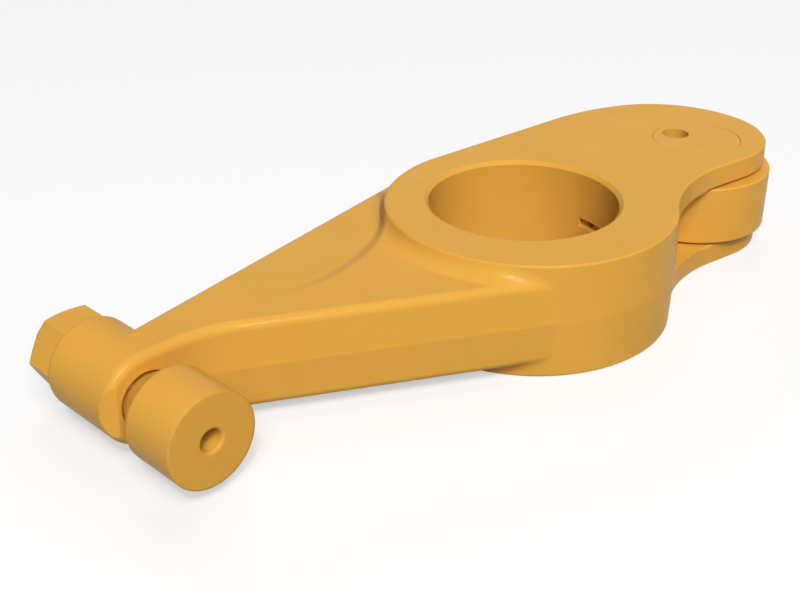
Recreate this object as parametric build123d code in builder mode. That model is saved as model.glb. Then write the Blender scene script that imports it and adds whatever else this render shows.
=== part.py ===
"""Roller rocker arm: a forged arm with a shaft bore, a roller fork and an adjusting screw.

Frame: origin on the bore's axis at mid thickness, +Z along the bore, +X towards the roller,
-Y the way the button of the adjusting screw faces. Millimetres.
"""
import os
from math import acos, atan2, cos, degrees, radians, sin, sqrt, tan

from build123d import *

# Hub and shaft bore
bore_radius = 19.0
bore_chamfer = 0.8
hub_radius = 29.1
hub_shift = 1.87
pad_half = 11.6
rim_chamfer = 0.3
pad_draft = 1.8

# Arm
root_step = 1.65
root_far_end_angle = 55.0
arm_half = 8.6
arm_draft = 4.0
near_bend_ahead = 11.2
far_wall_angle = 10.0
near_wall_bend = 25.0
arm_edge_fillet = 1.6
root_fillet = 3.5
root_corner_angle = 13.0
fillet_room = 3.0

# Fork ears round the roller pin
pin_x = 51.8
pin_y = -6.15
ear_tip_radius = 17.05
ear_tip_ahead = 0.93
ear_tip_above = 3.0
ear_crown_radius = 23.35
ear_crown_angle = -10.8
ear_shoulder_radius = 48.0
ear_shoulder_angle = 62.8
ear_flank_angle = -98.5
throat_fillet = 33.0
ear_gap_half = 6.85
ear_edge_chamfer = 0.3
slot_throat = 10.0

# Roller pin
pin_radius = 9.63
pin_chamfer = 0.2
pin_bore_radius = 2.9
pin_bore_offset = 5.1
pin_bore_angle = 98.0
pin_bore_depth = 14.0
pin_cross_radius = 1.25
drill_point_angle = 59.0

# Roller and its bush
roller_radius = 16.5
roller_side_gap = 0.45
roller_chamfer = 0.4
roller_floor_gap = 2.0
bush_wall = 2.4
bush_recess = 0.3
bush_chamfer = 0.4
running_clearance = 0.03

# Oil way from the shaft bore to the fork
oil_groove_height = 1.8
oil_groove_depth = 1.2
oil_groove_sweep = 28.0
oil_hole_radius = 0.85

# Boss of the adjusting screw
boss_x = -86.5
boss_radius = arm_half
boss_front = 7.0
boss_length = 16.8
boss_root_fillet = 1.5
boss_bevel_width = 2.6
boss_bevel_depth = 1.75
boss_recess_radius = 5.3
boss_recess_depth = 2.0

# Adjusting screw
screw_radius = 5.0
thread_clearance = 0.05
screw_chamfer = 0.75
screw_stand_out = 4.0
screw_shoulder_gap = 1.0
ball_radius = 4.3
ball_behind_boss = 6.5
ball_neck_radius = 2.75
socket_flats = 5.0
socket_depth = 4.0

# Locknut
nut_flats = 14.0
nut_thickness = 8.0
nut_face_radius = 6.65
nut_chamfer_angle = 30.0
nut_seat_gap = 0.05

# Swivel button
button_radius = 8.6
button_length = 16.91
button_gap = 0.15
button_taper_length = 5.75
button_front_fillet = 0.6
skirt_radius = 4.92
skirt_mouth_radius = 3.6
button_hole_radius = 2.05
ball_clearance = 0.05


def polar(radius, angle):
    """The point at a radius and an angle in degrees."""
    return Vector(radius * cos(radians(angle)), radius * sin(radians(angle)))


def tangent_angle(centre_a, radius_a, centre_b, radius_b):
    """The angle of the normal of the line that touches two circles on their far side."""
    across = centre_b - centre_a
    return degrees(atan2(across.Y, across.X) + acos((radius_a - radius_b) / across.length))


def edges_at(builder, *points):
    """The edge of a part that passes nearest to each point."""
    return ShapeList(builder.edges().sort_by_distance(point)[0] for point in points)


# Places that follow from the sizes
hub_centre = Vector(0, -hub_shift)
pin_centre = Vector(pin_x, pin_y)
ear_tip = pin_centre + Vector(ear_tip_ahead, ear_tip_above)
ear_crown = ear_tip + polar(ear_tip_radius - ear_crown_radius, ear_crown_angle)
ear_shoulder = ear_crown + polar(ear_crown_radius - ear_shoulder_radius, ear_shoulder_angle)
flank_normal = tangent_angle(hub_centre, hub_radius, ear_shoulder, ear_shoulder_radius)
root_radius = hub_radius + root_step
near_bend = Vector(boss_x + near_bend_ahead, boss_front)
near_normal = tangent_angle(Vector(0, 0), root_radius, near_bend, 0) - 360
near_wall_angle = -90 - near_normal
far_normal = 90 + far_wall_angle
boss_back = boss_front + boss_length
skirt_end = boss_front - button_gap
button_front = skirt_end - button_length
taper_start = skirt_end - button_taper_length
ball_centre = boss_front - ball_behind_boss
roller_half = ear_gap_half - roller_side_gap
bush_radius = pin_radius + running_clearance + bush_wall
slot_radius = roller_radius + roller_floor_gap
slot_reach = 2 * ear_crown_radius
screw_axis = Axis((boss_x, 0, 0), (0, 1, 0))
screw_plane = Plane(origin=(boss_x, 0, 0))
boss_plane = Plane(origin=(boss_x, boss_front, 0), x_dir=(1, 0, 0), z_dir=(0, -1, 0))


def arm_outline(inset):
    """The arm from above: two walls tangent to the root circle, ending on the boss's axis."""
    radius = root_radius - inset
    near_start = polar(radius, near_normal)
    far_start = polar(radius, far_normal)
    bend_x = near_start.X - (boss_front - near_start.Y) / tan(radians(near_wall_angle))
    far_end = far_start.Y - (far_start.X - boss_x) * tan(radians(far_wall_angle))
    with BuildSketch(Plane.XY, mode=Mode.PRIVATE) as outline:
        with BuildLine():
            Polyline(near_start, (bend_x, boss_front), (boss_x, boss_front), (boss_x, far_end), far_start)
            far_arc = CenterArc((0, 0), radius, far_normal, root_far_end_angle - far_normal)
            Polyline(far_arc @ 1, (0, 0), (0, -radius))
            CenterArc((0, 0), radius, -90, near_normal + 90)
        make_face()
        fillet(outline.vertices().sort_by_distance((bend_x, boss_front))[0], near_wall_bend)
    return outline.sketch


# Arm and boss above the parting plane, with drafted walls and rounded edges
top_inset = arm_half * tan(radians(arm_draft))
near_middle = polar(root_radius - top_inset, near_normal) + polar(root_radius, near_normal - 90)
far_middle = polar(root_radius - top_inset, far_normal) + polar(root_radius, far_normal + 90)
far_end_y = far_middle.Y - (far_middle.X - boss_x) * tan(radians(far_wall_angle))
with BuildPart() as arm:
    with BuildSketch(Plane.XY):
        add(arm_outline(0))
    with BuildSketch(Plane.XY.offset(arm_half)):
        add(arm_outline(top_inset))
    loft(ruled=True)
    fillet(
        edges_at(arm, (far_middle.X, far_middle.Y, arm_half), (0, root_radius, arm_half)),
        arm_edge_fillet,
    )
    with BuildSketch(boss_plane):
        Circle(boss_radius)
        with Locations((0, -boss_radius)):
            Rectangle(2 * boss_radius, 2 * boss_radius, mode=Mode.SUBTRACT)
    extrude(amount=-boss_length)
    rim_pick = boss_radius / sqrt(2)
    fillet(
        edges_at(
            arm,
            (boss_x - rim_pick, boss_front, rim_pick),
            (boss_x + arm_edge_fillet, boss_front, arm_half),
            ((boss_x + boss_radius + near_bend.X) / 2, boss_front, arm_half),
            (near_middle.X, near_middle.Y, arm_half),
            (0, -root_radius, arm_half),
        ),
        arm_edge_fillet,
    )
    wall_at_boss = far_end_y + boss_radius * tan(radians(far_wall_angle))
    fillet(edges_at(arm, (boss_x + boss_radius, wall_at_boss, 0)), boss_root_fillet)
    bevel_start = Vector(boss_x - boss_radius + boss_bevel_width, boss_front)
    bevel_normal = Vector(boss_bevel_depth, boss_bevel_width)
    split(bisect_by=Plane(origin=bevel_start, z_dir=bevel_normal), keep=Keep.TOP)

# The thicker hub and fork, joined to the arm by a hollow fillet, then both mirrored
with BuildPart() as rocker_body:
    add(arm)
    with BuildSketch(Plane.XY.offset(pad_half + fillet_room)) as pad:
        with BuildLine():
            flank = Line(
                hub_centre + polar(hub_radius, flank_normal),
                ear_shoulder + polar(ear_shoulder_radius, flank_normal),
            )
            CenterArc(ear_shoulder, ear_shoulder_radius, flank_normal, ear_shoulder_angle - flank_normal)
            CenterArc(ear_crown, ear_crown_radius, ear_shoulder_angle, ear_crown_angle - ear_shoulder_angle)
            tip = CenterArc(ear_tip, ear_tip_radius, ear_crown_angle, ear_flank_angle - ear_crown_angle)
            throat = tip @ 1 + polar(pin_x - hub_radius / 2, ear_flank_angle - 90)
            Polyline(tip @ 1, throat, hub_centre, flank @ 0)
        make_face()
        with Locations(hub_centre):
            Circle(hub_radius)
        throat_corner = pad.vertices().sort_by_distance((hub_radius, -hub_radius / 2))[0]
        fillet(throat_corner, throat_fillet)
        offset(amount=-fillet_room * tan(radians(pad_draft)), mode=Mode.REPLACE)
    extrude(amount=-pad_half - fillet_room, taper=-pad_draft)
    pad_foot = hub_radius + (pad_half - arm_half) * tan(radians(pad_draft))
    side = hub_centre + polar(pad_foot, 180)
    corner = hub_centre + polar(pad_foot, near_normal - root_corner_angle)
    corner_z = arm_half - arm_edge_fillet / 3
    fillet(
        edges_at(rocker_body, (side.X, side.Y, arm_half), (corner.X, corner.Y, corner_z)),
        root_fillet,
    )
    split(bisect_by=Plane.XY.offset(pad_half), keep=Keep.BOTTOM)
    rim = rocker_body.faces().sort_by(Axis.Z)[-1].edges()
    chamfer(rim, rim_chamfer)
    mirror(about=Plane.XY)

    # Shaft bore
    with Locations((0, 0, pad_half)):
        Hole(bore_radius)
    bore_rims = rocker_body.edges().filter_by(GeomType.CIRCLE).filter_by(
        lambda edge: abs(edge.radius - bore_radius) < running_clearance
    )
    chamfer(bore_rims, bore_chamfer)

    # Fork slot, open to both sides and to the tip, and the holes for the pin
    with BuildSketch(Plane.XY.offset(-ear_gap_half)):
        with Locations(pin_centre):
            Circle(slot_radius)
        with Locations(pin_centre - Vector(slot_throat, 0)):
            Rectangle(slot_reach, 2 * slot_reach, align=(Align.MIN, Align.CENTER))
    extrude(amount=2 * ear_gap_half, mode=Mode.SUBTRACT)
    slot_rims = rocker_body.edges().filter_by(
        lambda edge: abs(abs(edge.center().Z) - ear_gap_half) < running_clearance
        and edge.center().X > pin_x - slot_throat + slot_radius / 2
    )
    chamfer(slot_rims, ear_edge_chamfer)
    with Locations((pin_x, pin_y, pad_half)):
        Hole(pin_radius)

    # Oil groove in the bore, drilled through to the floor of the slot
    with BuildSketch(Plane.XY.offset(-oil_groove_height / 2)):
        with BuildLine():
            groove = CenterArc((0, 0), bore_radius + oil_groove_depth, 0, -oil_groove_sweep)
            Polyline(groove @ 1, (0, 0), groove @ 0)
        make_face()
    extrude(amount=oil_groove_height, mode=Mode.SUBTRACT)
    with BuildSketch(Plane((0, 0, 0), z_dir=pin_centre)):
        Circle(oil_hole_radius)
    extrude(amount=pin_centre.length, mode=Mode.SUBTRACT)

    # Tapped hole of the adjusting screw, with a recess for the button's skirt
    with Locations(boss_plane.location):
        CounterBoreHole(screw_radius + thread_clearance, boss_recess_radius, boss_recess_depth)

# Roller pin, with an oil drilling off its centre that leads out at the bush
pin_bore_centre = pin_centre + polar(pin_bore_offset, pin_bore_angle)
bore_floor = pad_half - pin_bore_depth
with BuildPart() as roller_pin:
    with BuildSketch(Plane.XY.offset(-pad_half)):
        with Locations(pin_centre):
            Circle(pin_radius)
    extrude(amount=2 * pad_half)
    chamfer(roller_pin.edges().filter_by(GeomType.CIRCLE), pin_chamfer)
    with BuildSketch(Plane(origin=pin_bore_centre, x_dir=(1, 0, 0), z_dir=(0, -1, 0))):
        with BuildLine():
            Polyline(
                (0, pad_half),
                (pin_bore_radius, pad_half),
                (pin_bore_radius, bore_floor),
                (0, bore_floor - pin_bore_radius / tan(radians(drill_point_angle))),
                close=True,
            )
        make_face()
    revolve(axis=Axis(pin_bore_centre, (0, 0, 1)), mode=Mode.SUBTRACT)
    with BuildSketch(Plane(origin=pin_bore_centre, z_dir=polar(1, pin_bore_angle))):
        Circle(pin_cross_radius)
    extrude(amount=pin_radius, mode=Mode.SUBTRACT)

# Roller, and the bush pressed in it that turns on the pin
with BuildPart() as roller:
    with BuildSketch(Plane.XY.offset(-roller_half)):
        with Locations(pin_centre):
            Circle(roller_radius)
            Circle(bush_radius, mode=Mode.SUBTRACT)
    extrude(amount=2 * roller_half)
    fillet(roller.edges().filter_by(GeomType.CIRCLE).sort_by(SortBy.RADIUS)[-2:], roller_chamfer)

bush_half = roller_half - bush_recess
with BuildPart() as roller_bush:
    with BuildSketch(Plane.XY.offset(-bush_half)):
        with Locations(pin_centre):
            Circle(bush_radius)
            Circle(pin_radius + running_clearance, mode=Mode.SUBTRACT)
    extrude(amount=2 * bush_half)
    chamfer(roller_bush.edges().filter_by(GeomType.CIRCLE).sort_by(SortBy.RADIUS)[:2], bush_chamfer)

# Adjusting screw: threaded shank, ball end for the button, hexagon socket at the far end
screw_end = boss_back + nut_seat_gap + nut_thickness + screw_stand_out
shoulder = skirt_end + screw_shoulder_gap
neck_angle = degrees(acos(ball_neck_radius / ball_radius))
with BuildPart() as adjusting_screw:
    with BuildSketch(screw_plane):
        with BuildLine():
            ball = CenterArc((0, ball_centre), ball_radius, -90, 90 + neck_angle)
            Polyline(
                ball @ 1,
                (ball_neck_radius, shoulder),
                (screw_radius - screw_chamfer, shoulder),
                (screw_radius, shoulder + screw_chamfer),
                (screw_radius, screw_end - screw_chamfer),
                (screw_radius - screw_chamfer, screw_end),
                (0, screw_end),
                ball @ 0,
            )
        make_face()
    revolve(axis=screw_axis)
    with BuildSketch(Plane(origin=(boss_x, screw_end, 0), x_dir=(1, 0, 0), z_dir=(0, 1, 0))):
        RegularPolygon(socket_flats / 2, 6, major_radius=False)
    extrude(amount=-socket_depth, mode=Mode.SUBTRACT)

# Locknut: hexagon with its outer corners turned off
nut_seat = boss_back + nut_seat_gap
nut_end = nut_seat + nut_thickness
nut_corner = nut_flats / sqrt(3)
nut_corner_end = nut_end - (nut_corner - nut_face_radius) * tan(radians(nut_chamfer_angle))
with BuildPart() as locknut:
    with BuildSketch(Plane(origin=(boss_x, nut_seat, 0), x_dir=(1, 0, 0), z_dir=(0, 1, 0))):
        RegularPolygon(nut_flats / 2, 6, major_radius=False)
        Circle(screw_radius + thread_clearance, mode=Mode.SUBTRACT)
    extrude(amount=nut_thickness)
    with BuildSketch(screw_plane):
        with BuildLine():
            Polyline(
                (0, nut_seat),
                (nut_corner, nut_seat),
                (nut_corner, nut_corner_end),
                (nut_face_radius, nut_end),
                (0, nut_end),
                close=True,
            )
        make_face()
    revolve(axis=screw_axis, mode=Mode.INTERSECT)

# Swivel button: closed over the ball by its skirt, with an oil hole through its face
socket_radius = ball_radius + ball_clearance
mouth_angle = degrees(acos(skirt_mouth_radius / socket_radius))
hole_angle = -degrees(acos(button_hole_radius / socket_radius))
with BuildPart() as swivel_button:
    with BuildSketch(screw_plane) as section:
        with BuildLine():
            socket = CenterArc((0, ball_centre), socket_radius, hole_angle, mouth_angle - hole_angle)
            Polyline(
                socket @ 1,
                (skirt_mouth_radius, skirt_end),
                (skirt_radius, skirt_end),
                (button_radius, taper_start),
                (button_radius, button_front),
                (button_hole_radius, button_front),
                socket @ 0,
            )
        make_face()
        front_corner = section.vertices().sort_by_distance((boss_x + button_radius, button_front))[0]
        fillet(front_corner, button_front_fillet)
    revolve(axis=screw_axis)

os.makedirs("parts", exist_ok=True)
pieces = {
    "rocker_body": rocker_body,
    "roller_pin": roller_pin,
    "roller": roller,
    "roller_bush": roller_bush,
    "adjusting_screw": adjusting_screw,
    "locknut": locknut,
    "swivel_button": swivel_button,
}
for name, piece in pieces.items():
    piece.part.label = name
    export_step(piece.part, f"parts/{name}.step")
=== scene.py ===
from math import atan2, cos, pi, radians, sin

import bmesh
import bpy
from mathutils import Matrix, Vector


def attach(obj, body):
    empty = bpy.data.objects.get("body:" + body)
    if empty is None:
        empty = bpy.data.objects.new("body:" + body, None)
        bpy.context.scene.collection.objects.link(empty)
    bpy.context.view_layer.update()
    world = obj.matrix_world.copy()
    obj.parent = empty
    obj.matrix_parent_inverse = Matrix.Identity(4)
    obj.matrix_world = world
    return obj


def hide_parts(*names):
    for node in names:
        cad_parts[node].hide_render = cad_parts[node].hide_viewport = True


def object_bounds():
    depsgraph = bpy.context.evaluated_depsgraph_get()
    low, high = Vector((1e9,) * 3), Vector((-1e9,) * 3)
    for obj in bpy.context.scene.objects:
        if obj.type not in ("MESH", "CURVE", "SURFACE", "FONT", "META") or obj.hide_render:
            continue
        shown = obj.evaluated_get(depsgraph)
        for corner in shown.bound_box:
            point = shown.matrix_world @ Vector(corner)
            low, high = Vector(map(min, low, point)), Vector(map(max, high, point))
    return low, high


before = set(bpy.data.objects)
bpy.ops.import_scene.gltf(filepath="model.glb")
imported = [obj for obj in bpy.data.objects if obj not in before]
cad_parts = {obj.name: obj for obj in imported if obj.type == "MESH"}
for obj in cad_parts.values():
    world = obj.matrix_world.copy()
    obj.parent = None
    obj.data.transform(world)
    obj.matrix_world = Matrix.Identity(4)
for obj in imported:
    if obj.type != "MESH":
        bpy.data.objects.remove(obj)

cad_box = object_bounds()


# Rocker body
# One steel forging with 4 degree draft each way from its parting line. Its side faces, bore and
# fork slot are machined, and the whole arm is sprayed in satin yellow after it is put together.
def spread(tree, value, start, end, low=0.0, high=1.0):
    """A value that runs from start to end becomes one that runs from low to high."""
    node = tree.nodes.new("ShaderNodeMapRange")
    node.inputs["From Min"].default_value = start
    node.inputs["From Max"].default_value = end
    node.inputs["To Min"].default_value = low
    node.inputs["To Max"].default_value = high
    tree.links.new(value, node.inputs["Value"])
    return node


def combine(tree, operation, first, second):
    """One number made of two, by a Math node."""
    node = tree.nodes.new("ShaderNodeMath")
    node.operation = operation
    tree.links.new(first, node.inputs[0])
    tree.links.new(second, node.inputs[1])
    return node.outputs["Value"]


def paint(name, roughness, peel_size, peel_height, edge_radius):
    """Satin yellow paint over soft edges: its depth and gloss drift over a fine orange peel."""
    thin_coat = (0.700, 0.358, 0.050, 1)
    full_coat = (0.730, 0.377, 0.056, 1)
    drift_size = 0.014
    gloss_drift = 0.03
    material = bpy.data.materials.new(name)
    material.use_nodes = True
    tree = material.node_tree
    nodes = tree.nodes
    links = tree.links
    shader = nodes["Principled BSDF"]
    shader.inputs["Specular IOR Level"].default_value = 0.05
    shader.inputs["Coat Weight"].default_value = 0.12
    shader.inputs["Coat Roughness"].default_value = 0.09
    place = nodes.new("ShaderNodeTexCoord")

    drift = nodes.new("ShaderNodeTexNoise")
    drift.inputs["Scale"].default_value = 1 / drift_size
    drift.inputs["Detail"].default_value = 3
    links.new(place.outputs["Object"], drift.inputs["Vector"])
    tint = nodes.new("ShaderNodeValToRGB")
    tint.color_ramp.elements[0].position = 0.3
    tint.color_ramp.elements[0].color = thin_coat
    tint.color_ramp.elements[1].position = 0.7
    tint.color_ramp.elements[1].color = full_coat
    links.new(drift.outputs["Fac"], tint.inputs["Fac"])
    links.new(tint.outputs["Color"], shader.inputs["Base Color"])
    rough, smooth = roughness + gloss_drift, roughness - gloss_drift
    gloss = spread(tree, drift.outputs["Fac"], 0.3, 0.7, rough, smooth)
    links.new(gloss.outputs["Result"], shader.inputs["Roughness"])

    peel = nodes.new("ShaderNodeTexNoise")
    peel.inputs["Scale"].default_value = 1 / peel_size
    peel.inputs["Detail"].default_value = 2
    links.new(place.outputs["Object"], peel.inputs["Vector"])
    soft_edge = nodes.new("ShaderNodeBevel")
    soft_edge.samples = 6
    soft_edge.inputs["Radius"].default_value = edge_radius
    skin = nodes.new("ShaderNodeBump")
    skin.name = "skin"
    skin.inputs["Strength"].default_value = 1.0
    skin.inputs["Distance"].default_value = peel_height
    links.new(peel.outputs["Fac"], skin.inputs["Height"])
    links.new(soft_edge.outputs["Normal"], skin.inputs["Normal"])
    links.new(skin.outputs["Normal"], shader.inputs["Normal"])
    return material


def show(name, mesh):
    """Puts a finished mesh in the scene as an object of its own."""
    made = bpy.data.objects.new(name, mesh)
    bpy.context.scene.collection.objects.link(made)
    return made


body_paint = paint("body_paint", 0.46, 0.0016, 0.000006, 0.0003)

# The cutter for the fork slot is round against the hub's ring on the near side, and flat on the
# far side.
ring_radius = 0.0320
slot_cleared_x = 0.0440
slot_half = 0.00685
slot_reach = 0.06
ring_sweep = 80
mesh = bmesh.new()
far_corners = [
    mesh.verts.new((slot_cleared_x, -slot_reach, -slot_half)),
    mesh.verts.new((slot_cleared_x, slot_reach, -slot_half)),
    mesh.verts.new((ring_radius, slot_reach, -slot_half)),
]
ring_start = mesh.verts.new((ring_radius, 0, -slot_half))
bmesh.ops.spin(
    mesh,
    geom=[ring_start],
    cent=(0, 0, 0),
    axis=(0, 0, -1),
    angle=radians(ring_sweep),
    steps=ring_sweep // 2,
)
mesh.verts.ensure_lookup_table()
slot_floor = mesh.faces.new(far_corners + [vert for vert in mesh.verts if vert not in far_corners])
raised = bmesh.ops.extrude_face_region(mesh, geom=[slot_floor], use_keep_orig=True)["geom"]
raised_verts = [item for item in raised if isinstance(item, bmesh.types.BMVert)]
bmesh.ops.translate(mesh, vec=(0, 0, 2 * slot_half), verts=raised_verts)
bmesh.ops.recalc_face_normals(mesh, faces=mesh.faces)
cutter_mesh = bpy.data.meshes.new("slot_cutter")
mesh.to_mesh(cutter_mesh)
mesh.free()
cutter = show("slot_cutter", cutter_mesh)

# The cut is made in a copy of the CAD mesh, which keeps its hard edges where its normals part.
merge_distance = 0.000001
cut_merge_distance = 0.000002
hard_edge_angle = radians(24)
forging_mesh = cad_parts["rocker_body"].data.copy()
mesh = bmesh.new()
mesh.from_mesh(forging_mesh)
for edge in mesh.edges:
    edge.smooth = not edge.is_boundary
bmesh.ops.remove_doubles(mesh, verts=mesh.verts, dist=merge_distance)
mesh.to_mesh(forging_mesh)
mesh.free()
body = show("rocker_forging", forging_mesh)
slot_cut = body.modifiers.new("slot_cut", "BOOLEAN")
slot_cut.operation = "DIFFERENCE"
slot_cut.solver = "EXACT"
slot_cut.object = cutter
bpy.context.view_layer.update()
cut_forging = body.evaluated_get(bpy.context.evaluated_depsgraph_get())
cut_mesh = bpy.data.meshes.new_from_object(cut_forging)
body.modifiers.clear()
body.data = cut_mesh
bpy.data.objects.remove(cutter)
bpy.data.meshes.remove(cutter_mesh)
bpy.data.meshes.remove(forging_mesh)
cut_mesh.name = "rocker_forging"
if "custom_normal" in cut_mesh.attributes:
    cut_mesh.attributes.remove(cut_mesh.attributes["custom_normal"])
mesh = bmesh.new()
mesh.from_mesh(cut_mesh)
bmesh.ops.remove_doubles(mesh, verts=mesh.verts, dist=cut_merge_distance)
for face in mesh.faces:
    face.smooth = True
for edge in mesh.edges:
    if edge.calc_face_angle(0) > hard_edge_angle:
        edge.smooth = False
mesh.to_mesh(cut_mesh)
mesh.free()
cut_mesh.materials.clear()
cut_mesh.materials.append(body_paint)
even_normals = body.modifiers.new("even_normals", "WEIGHTED_NORMAL")
even_normals.keep_sharp = True
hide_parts("rocker_body")
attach(body, "arm")

# The die left a shallow round relief on both sides of the arm, deepest against the hub.
relief_centre = (-0.050, 0.048, 0)
relief_radius = 0.0427
relief_edge = 0.0022
relief_depth = 0.0009
relief_ends_x = -0.061
relief_full_x = -0.026
tree = body_paint.node_tree
nodes = tree.nodes
links = tree.links
place = nodes.new("ShaderNodeTexCoord")
flat_place = nodes.new("ShaderNodeVectorMath")
flat_place.operation = "MULTIPLY"
flat_place.inputs[1].default_value = (1, 1, 0)
links.new(place.outputs["Object"], flat_place.inputs[0])
reach = nodes.new("ShaderNodeVectorMath")
reach.operation = "DISTANCE"
reach.inputs[1].default_value = relief_centre
links.new(flat_place.outputs["Vector"], reach.inputs[0])
inside = spread(tree, reach.outputs["Value"], relief_radius, relief_radius - relief_edge)
inside.interpolation_type = "SMOOTHSTEP"
axes = nodes.new("ShaderNodeSeparateXYZ")
links.new(place.outputs["Object"], axes.inputs["Vector"])
fade = spread(tree, axes.outputs["X"], relief_ends_x, relief_full_x, 0.0, -relief_depth)
height = nodes.new("ShaderNodeMath")
height.operation = "ABSOLUTE"
links.new(axes.outputs["Z"], height.inputs[0])
on_arm = spread(tree, height.outputs["Value"], 0.0080, 0.0084)
below_hub_face = spread(tree, height.outputs["Value"], 0.0112, 0.0096)
sunk = combine(tree, "MULTIPLY", inside.outputs["Result"], fade.outputs["Result"])
sunk = combine(tree, "MULTIPLY", sunk, on_arm.outputs["Result"])
sunk = combine(tree, "MULTIPLY", sunk, below_hub_face.outputs["Result"])
relief = nodes.new("ShaderNodeBump")
relief.inputs["Strength"].default_value = 1.0
relief.inputs["Distance"].default_value = 1.0
links.new(sunk, relief.inputs["Height"])
links.new(nodes["skin"].outputs["Normal"], relief.inputs["Normal"])
links.new(relief.outputs["Normal"], nodes["Principled BSDF"].inputs["Normal"])


# Roller
# Hardened steel ring, ground on its rim and sides, that follows the cam. It turns on the bush
# and was sprayed with the arm, so its paint lies smoother than on the forging.
def coat(node, material):
    """Gives a CAD node one material, and leaves its mesh as it is."""
    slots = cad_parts[node].data.materials
    slots.clear()
    slots.append(material)


coat("roller", paint("roller_paint", 0.40, 0.0012, 0.000002, 0.0002))

# Roller pin
# Ground steel pin pressed through both ears and flush with them, with an oil drilling beside
# its centre. Painted over with the ears.
coat("roller_pin", paint("pin_paint", 0.42, 0.0012, 0.000002, 0.0001))

# Roller bush
# Bronze bush pressed in the roller, which turns on the pin. It is bored, so it is bare, with
# fine turning marks round its axis and brown oil stains.
stained_bronze = (0.32, 0.18, 0.07, 1)
clean_bronze = (0.56, 0.36, 0.15, 1)
bronze = bpy.data.materials.new("bush_bronze")
bronze.use_nodes = True
tree = bronze.node_tree
nodes = tree.nodes
links = tree.links
shader = nodes["Principled BSDF"]
shader.inputs["Metallic"].default_value = 1.0
place = nodes.new("ShaderNodeTexCoord")
stain = nodes.new("ShaderNodeTexNoise")
stain.inputs["Scale"].default_value = 400
links.new(place.outputs["Object"], stain.inputs["Vector"])
tint = nodes.new("ShaderNodeValToRGB")
tint.color_ramp.elements[0].color = stained_bronze
tint.color_ramp.elements[1].color = clean_bronze
links.new(stain.outputs["Fac"], tint.inputs["Fac"])
links.new(tint.outputs["Color"], shader.inputs["Base Color"])
turning = nodes.new("ShaderNodeTexWave")
turning.bands_direction = "Z"
turning.inputs["Scale"].default_value = 1500
links.new(place.outputs["Object"], turning.inputs["Vector"])
gloss = spread(tree, turning.outputs["Fac"], 0.0, 1.0, 0.30, 0.42)
links.new(gloss.outputs["Result"], shader.inputs["Roughness"])
coat("roller_bush", bronze)

# Adjusting screw
# Turned steel screw through the boss, held by the locknut: a ball end for the button, an M10
# thread of 1.25 mm pitch, and a 5 mm hexagon socket in the end behind the nut.
screw_x = -0.0865
ball_y = 0.0005
ball_radius = 0.0043
ball_turn = 140.2
ball_steps = 12
neck_radius = 0.00275
shoulder_y = 0.00785
shoulder_chamfer = 0.00075
thread_radius = 0.005
core_radius = 0.00427
core_chamfer = 0.0004
thread_start_y = 0.0300
screw_end_y = 0.03585
round_steps = 48
mesh = bmesh.new()
ball_pole = mesh.verts.new((screw_x, ball_y - ball_radius, 0))
ball_arc = bmesh.ops.spin(
    mesh,
    geom=[ball_pole],
    cent=(screw_x, ball_y, 0),
    axis=(0, 0, 1),
    angle=radians(ball_turn),
    steps=ball_steps,
)
last = next(item for item in ball_arc["geom_last"] if isinstance(item, bmesh.types.BMVert))
for radius, y in (
    (neck_radius, shoulder_y),
    (thread_radius - shoulder_chamfer, shoulder_y),
    (thread_radius, shoulder_y + shoulder_chamfer),
    (thread_radius, thread_start_y),
    (core_radius, thread_start_y + core_chamfer),
    (core_radius, screw_end_y - core_chamfer),
    (core_radius - core_chamfer, screw_end_y),
):
    corner = mesh.verts.new((screw_x + radius, y, 0))
    mesh.edges.new((last, corner))
    last = corner
bmesh.ops.spin(
    mesh,
    geom=mesh.verts[:] + mesh.edges[:],
    cent=(screw_x, 0, 0),
    axis=(0, 1, 0),
    angle=2 * pi,
    steps=round_steps,
    use_merge=True,
)
bmesh.ops.remove_doubles(mesh, verts=mesh.verts, dist=merge_distance)


def extend_rim(mesh):
    """Extrudes the open rim of a mesh, and gives the new vertices."""
    rim = [edge for edge in mesh.edges if edge.is_boundary]
    made = bmesh.ops.extrude_edge_only(mesh, edges=rim)["geom"]
    return [item for item in made if isinstance(item, bmesh.types.BMVert)]


# The end's rim is drawn in to the socket's hexagon, and sunk to a drilled floor.
socket_half = 0.0025
socket_depth = 0.004
socket_point = 0.0012
for vert in extend_rim(mesh):
    angle = atan2(vert.co.z, vert.co.x - screw_x)
    radius = socket_half / cos((angle + pi / 6) % (pi / 3) - pi / 6)
    vert.co = (screw_x + radius * cos(angle), screw_end_y, radius * sin(angle))
bmesh.ops.translate(mesh, vec=(0, -socket_depth, 0), verts=extend_rim(mesh))
rim = [edge for edge in mesh.edges if edge.is_boundary]
socket_floor = bmesh.ops.holes_fill(mesh, edges=rim)["faces"]
drill_point = bmesh.ops.poke(mesh, faces=socket_floor)["verts"][0]
drill_point.co = (screw_x, screw_end_y - socket_depth - socket_point, 0)

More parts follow.
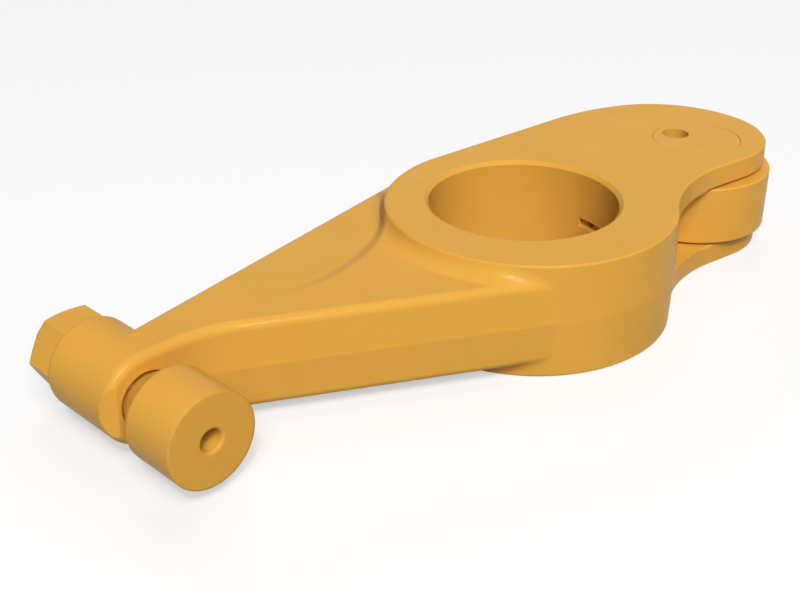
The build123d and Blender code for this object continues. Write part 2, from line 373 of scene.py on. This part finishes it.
# The thread is one ridge wound round the core, which dies out towards both ends.
pitch = 0.00125
ridge_steps = 201
ridge_root = core_radius - 0.0002
ridge_crest = thread_radius - 0.00003
ridge_low = core_radius - 0.00005
root_half = 0.00054
crest_half = 0.00008
ridge_start_y = thread_start_y + 0.0001
run_out = pitch / 2
core_verts = set(mesh.verts)
section = [
    mesh.verts.new((screw_x + radius, ridge_start_y + along, 0))
    for radius, along in (
        (ridge_root, -root_half),
        (ridge_crest, -crest_half),
        (ridge_crest, crest_half),
        (ridge_root, root_half),
    )
]
section_edges = [mesh.edges.new(pair) for pair in zip(section, section[1:] + section[:1])]
bmesh.ops.spin(
    mesh,
    geom=section + section_edges,
    cent=(screw_x, 0, 0),
    axis=(0, -1, 0),
    dvec=(0, pitch / round_steps, 0),
    angle=2 * pi * ridge_steps / round_steps,
    steps=ridge_steps,
)
bmesh.ops.holes_fill(mesh, edges=[edge for edge in mesh.edges if edge.is_boundary])
ridge_end_y = ridge_start_y + pitch * ridge_steps / round_steps
for edge in mesh.edges:
    middle = (edge.verts[0].co + edge.verts[1].co) / 2
    course = (edge.verts[1].co - edge.verts[0].co).normalized()
    out = Vector((middle.x - screw_x, 0, middle.z))
    if edge.verts[0] not in core_verts and abs(course.y) > 0.999 and out.length > core_radius:
        to_end = max(0.0, min(middle.y - ridge_start_y, ridge_end_y - middle.y))
        crest = ridge_low + (ridge_crest - ridge_low) * min(1.0, to_end / run_out)
        for vert in edge.verts:
            vert.co = Vector((screw_x, vert.co.y, 0)) + out.normalized() * crest
bmesh.ops.recalc_face_normals(mesh, faces=mesh.faces)
screw_mesh = bpy.data.meshes.new("screw_thread")
mesh.to_mesh(screw_mesh)
mesh.free()
for face in screw_mesh.polygons:
    face.use_smooth = True
screw_mesh.set_sharp_from_angle(angle=radians(35))
screw_mesh.materials.append(paint("screw_paint", 0.42, 0.0010, 0.000002, 0.0001))
screw = show("screw_thread", screw_mesh)
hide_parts("adjusting_screw")
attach(screw, "screw")

# Locknut
# Small-series hexagon nut on the screw, tightened against the back of the boss, with its outer
# corners turned off at 30 degrees. Painted in place.
coat("locknut", paint("nut_paint", 0.44, 0.0012, 0.000003, 0.0003))

# Swivel button
# Turned and ground steel button snapped over the screw's ball by its tapered skirt. Its flat
# face presses on the valve bridge, and the hole in it brings oil to the face.
coat("swivel_button", paint("button_paint", 0.42, 0.0012, 0.000002, 0.0006))

# Floor and world
# A plain pale studio floor that keeps the soft shadow, under even light. Floor and world are
# white where the camera or a reflection looks straight at them.
floor_size = 4.0
floor_gap = 0.0001
floor_pale = (0.95, 0.95, 0.95, 1)
floor_dull = (0.25, 0.25, 0.25, 1)
floor_glow = 0.5
world_fill = 0.04
white = (1, 1, 1, 1)


def looked_at(tree):
    """1 for rays from the camera, a reflection or a clear piece, and 0 for all others."""
    ray = tree.nodes.new("ShaderNodeLightPath")
    seen = combine(tree, "MAXIMUM", ray.outputs["Is Camera Ray"], ray.outputs["Is Glossy Ray"])
    return combine(tree, "MAXIMUM", seen, ray.outputs["Is Transmission Ray"])


bpy.ops.mesh.primitive_plane_add(size=floor_size, location=(0, 0, cad_box[0][2] - floor_gap))
floor = bpy.context.object
floor.name = "studio_floor"
floor_paint = bpy.data.materials.new("studio_floor")
floor_paint.use_nodes = True
tree = floor_paint.node_tree
nodes = tree.nodes
links = tree.links
shader = nodes["Principled BSDF"]
shader.inputs["Roughness"].default_value = 0.9
ray = nodes.new("ShaderNodeLightPath")
floor_tone = nodes.new("ShaderNodeMixRGB")
floor_tone.inputs["Color1"].default_value = floor_pale
floor_tone.inputs["Color2"].default_value = floor_dull
links.new(ray.outputs["Is Diffuse Ray"], floor_tone.inputs["Fac"])
links.new(floor_tone.outputs["Color"], shader.inputs["Base Color"])
bright = nodes.new("ShaderNodeEmission")
bright.inputs["Strength"].default_value = 1.0
share = spread(tree, looked_at(tree), 0.0, 1.0, 0.0, floor_glow)
lit = nodes.new("ShaderNodeMixShader")
links.new(share.outputs["Result"], lit.inputs["Fac"])
links.new(shader.outputs["BSDF"], lit.inputs[1])
links.new(bright.outputs["Emission"], lit.inputs[2])
links.new(lit.outputs["Shader"], nodes["Material Output"].inputs["Surface"])
floor.data.materials.append(floor_paint)

world = bpy.data.worlds.new("studio")
bpy.context.scene.world = world
world.use_nodes = True
tree = world.node_tree
nodes = tree.nodes
links = tree.links
fill = nodes["Background"]
fill.inputs["Color"].default_value = white
fill.inputs["Strength"].default_value = world_fill
backdrop = nodes.new("ShaderNodeBackground")
backdrop.inputs["Color"].default_value = white
backdrop.inputs["Strength"].default_value = 1.0
choice = nodes.new("ShaderNodeMixShader")
links.new(looked_at(tree), choice.inputs["Fac"])
links.new(fill.outputs["Background"], choice.inputs[1])
links.new(backdrop.outputs["Background"], choice.inputs[2])
links.new(choice.outputs["Shader"], nodes["World Output"].inputs["Surface"])


# Lamps
# Three square lamps 3 m from the hub: a soft key behind the camera's left shoulder, a small
# bright one inside it for the glints on the paint, and a weak one behind the arm.
def lamp(name, azimuth, height, size, power):
    """A square lamp aimed at the hub, at an azimuth and a height in degrees."""
    distance = 3
    data = bpy.data.lights.new(name, "AREA")
    data.energy = power
    data.size = size
    light = show(name, data)
    turn, rise = radians(azimuth), radians(height)
    out = Vector((-sin(turn) * cos(rise), -cos(turn) * cos(rise), sin(rise)))
    light.location = distance * out
    light.rotation_euler = (-out).to_track_quat("-Z", "Y").to_euler()


lamp("key", 37, 46, 1.5, 86)
lamp("glint", 42, 46, 0.12, 20)
lamp("back", 222, 60, 1.5, 14)

# Camera
# It stands where the photograph's camera stood, as the rims of the bore, the pin and the hub
# give it.
camera_azimuth = radians(44.89)
camera_drop = radians(28.49)
camera_data = bpy.data.cameras.new("camera")
camera_data.sensor_width = 36.0
camera_data.lens = 57.8
camera_data.clip_start = 0.001
camera = show("camera", camera_data)
flat = cos(camera_drop)
forward = Vector((sin(camera_azimuth) * flat, cos(camera_azimuth) * flat, -sin(camera_drop)))
camera.rotation_euler = forward.to_track_quat("-Z", "Y").to_euler()
camera.location = (-0.18342, -0.14918, 0.11593)
bpy.context.scene.camera = camera

bpy.context.scene.view_settings.view_transform = "Standard"
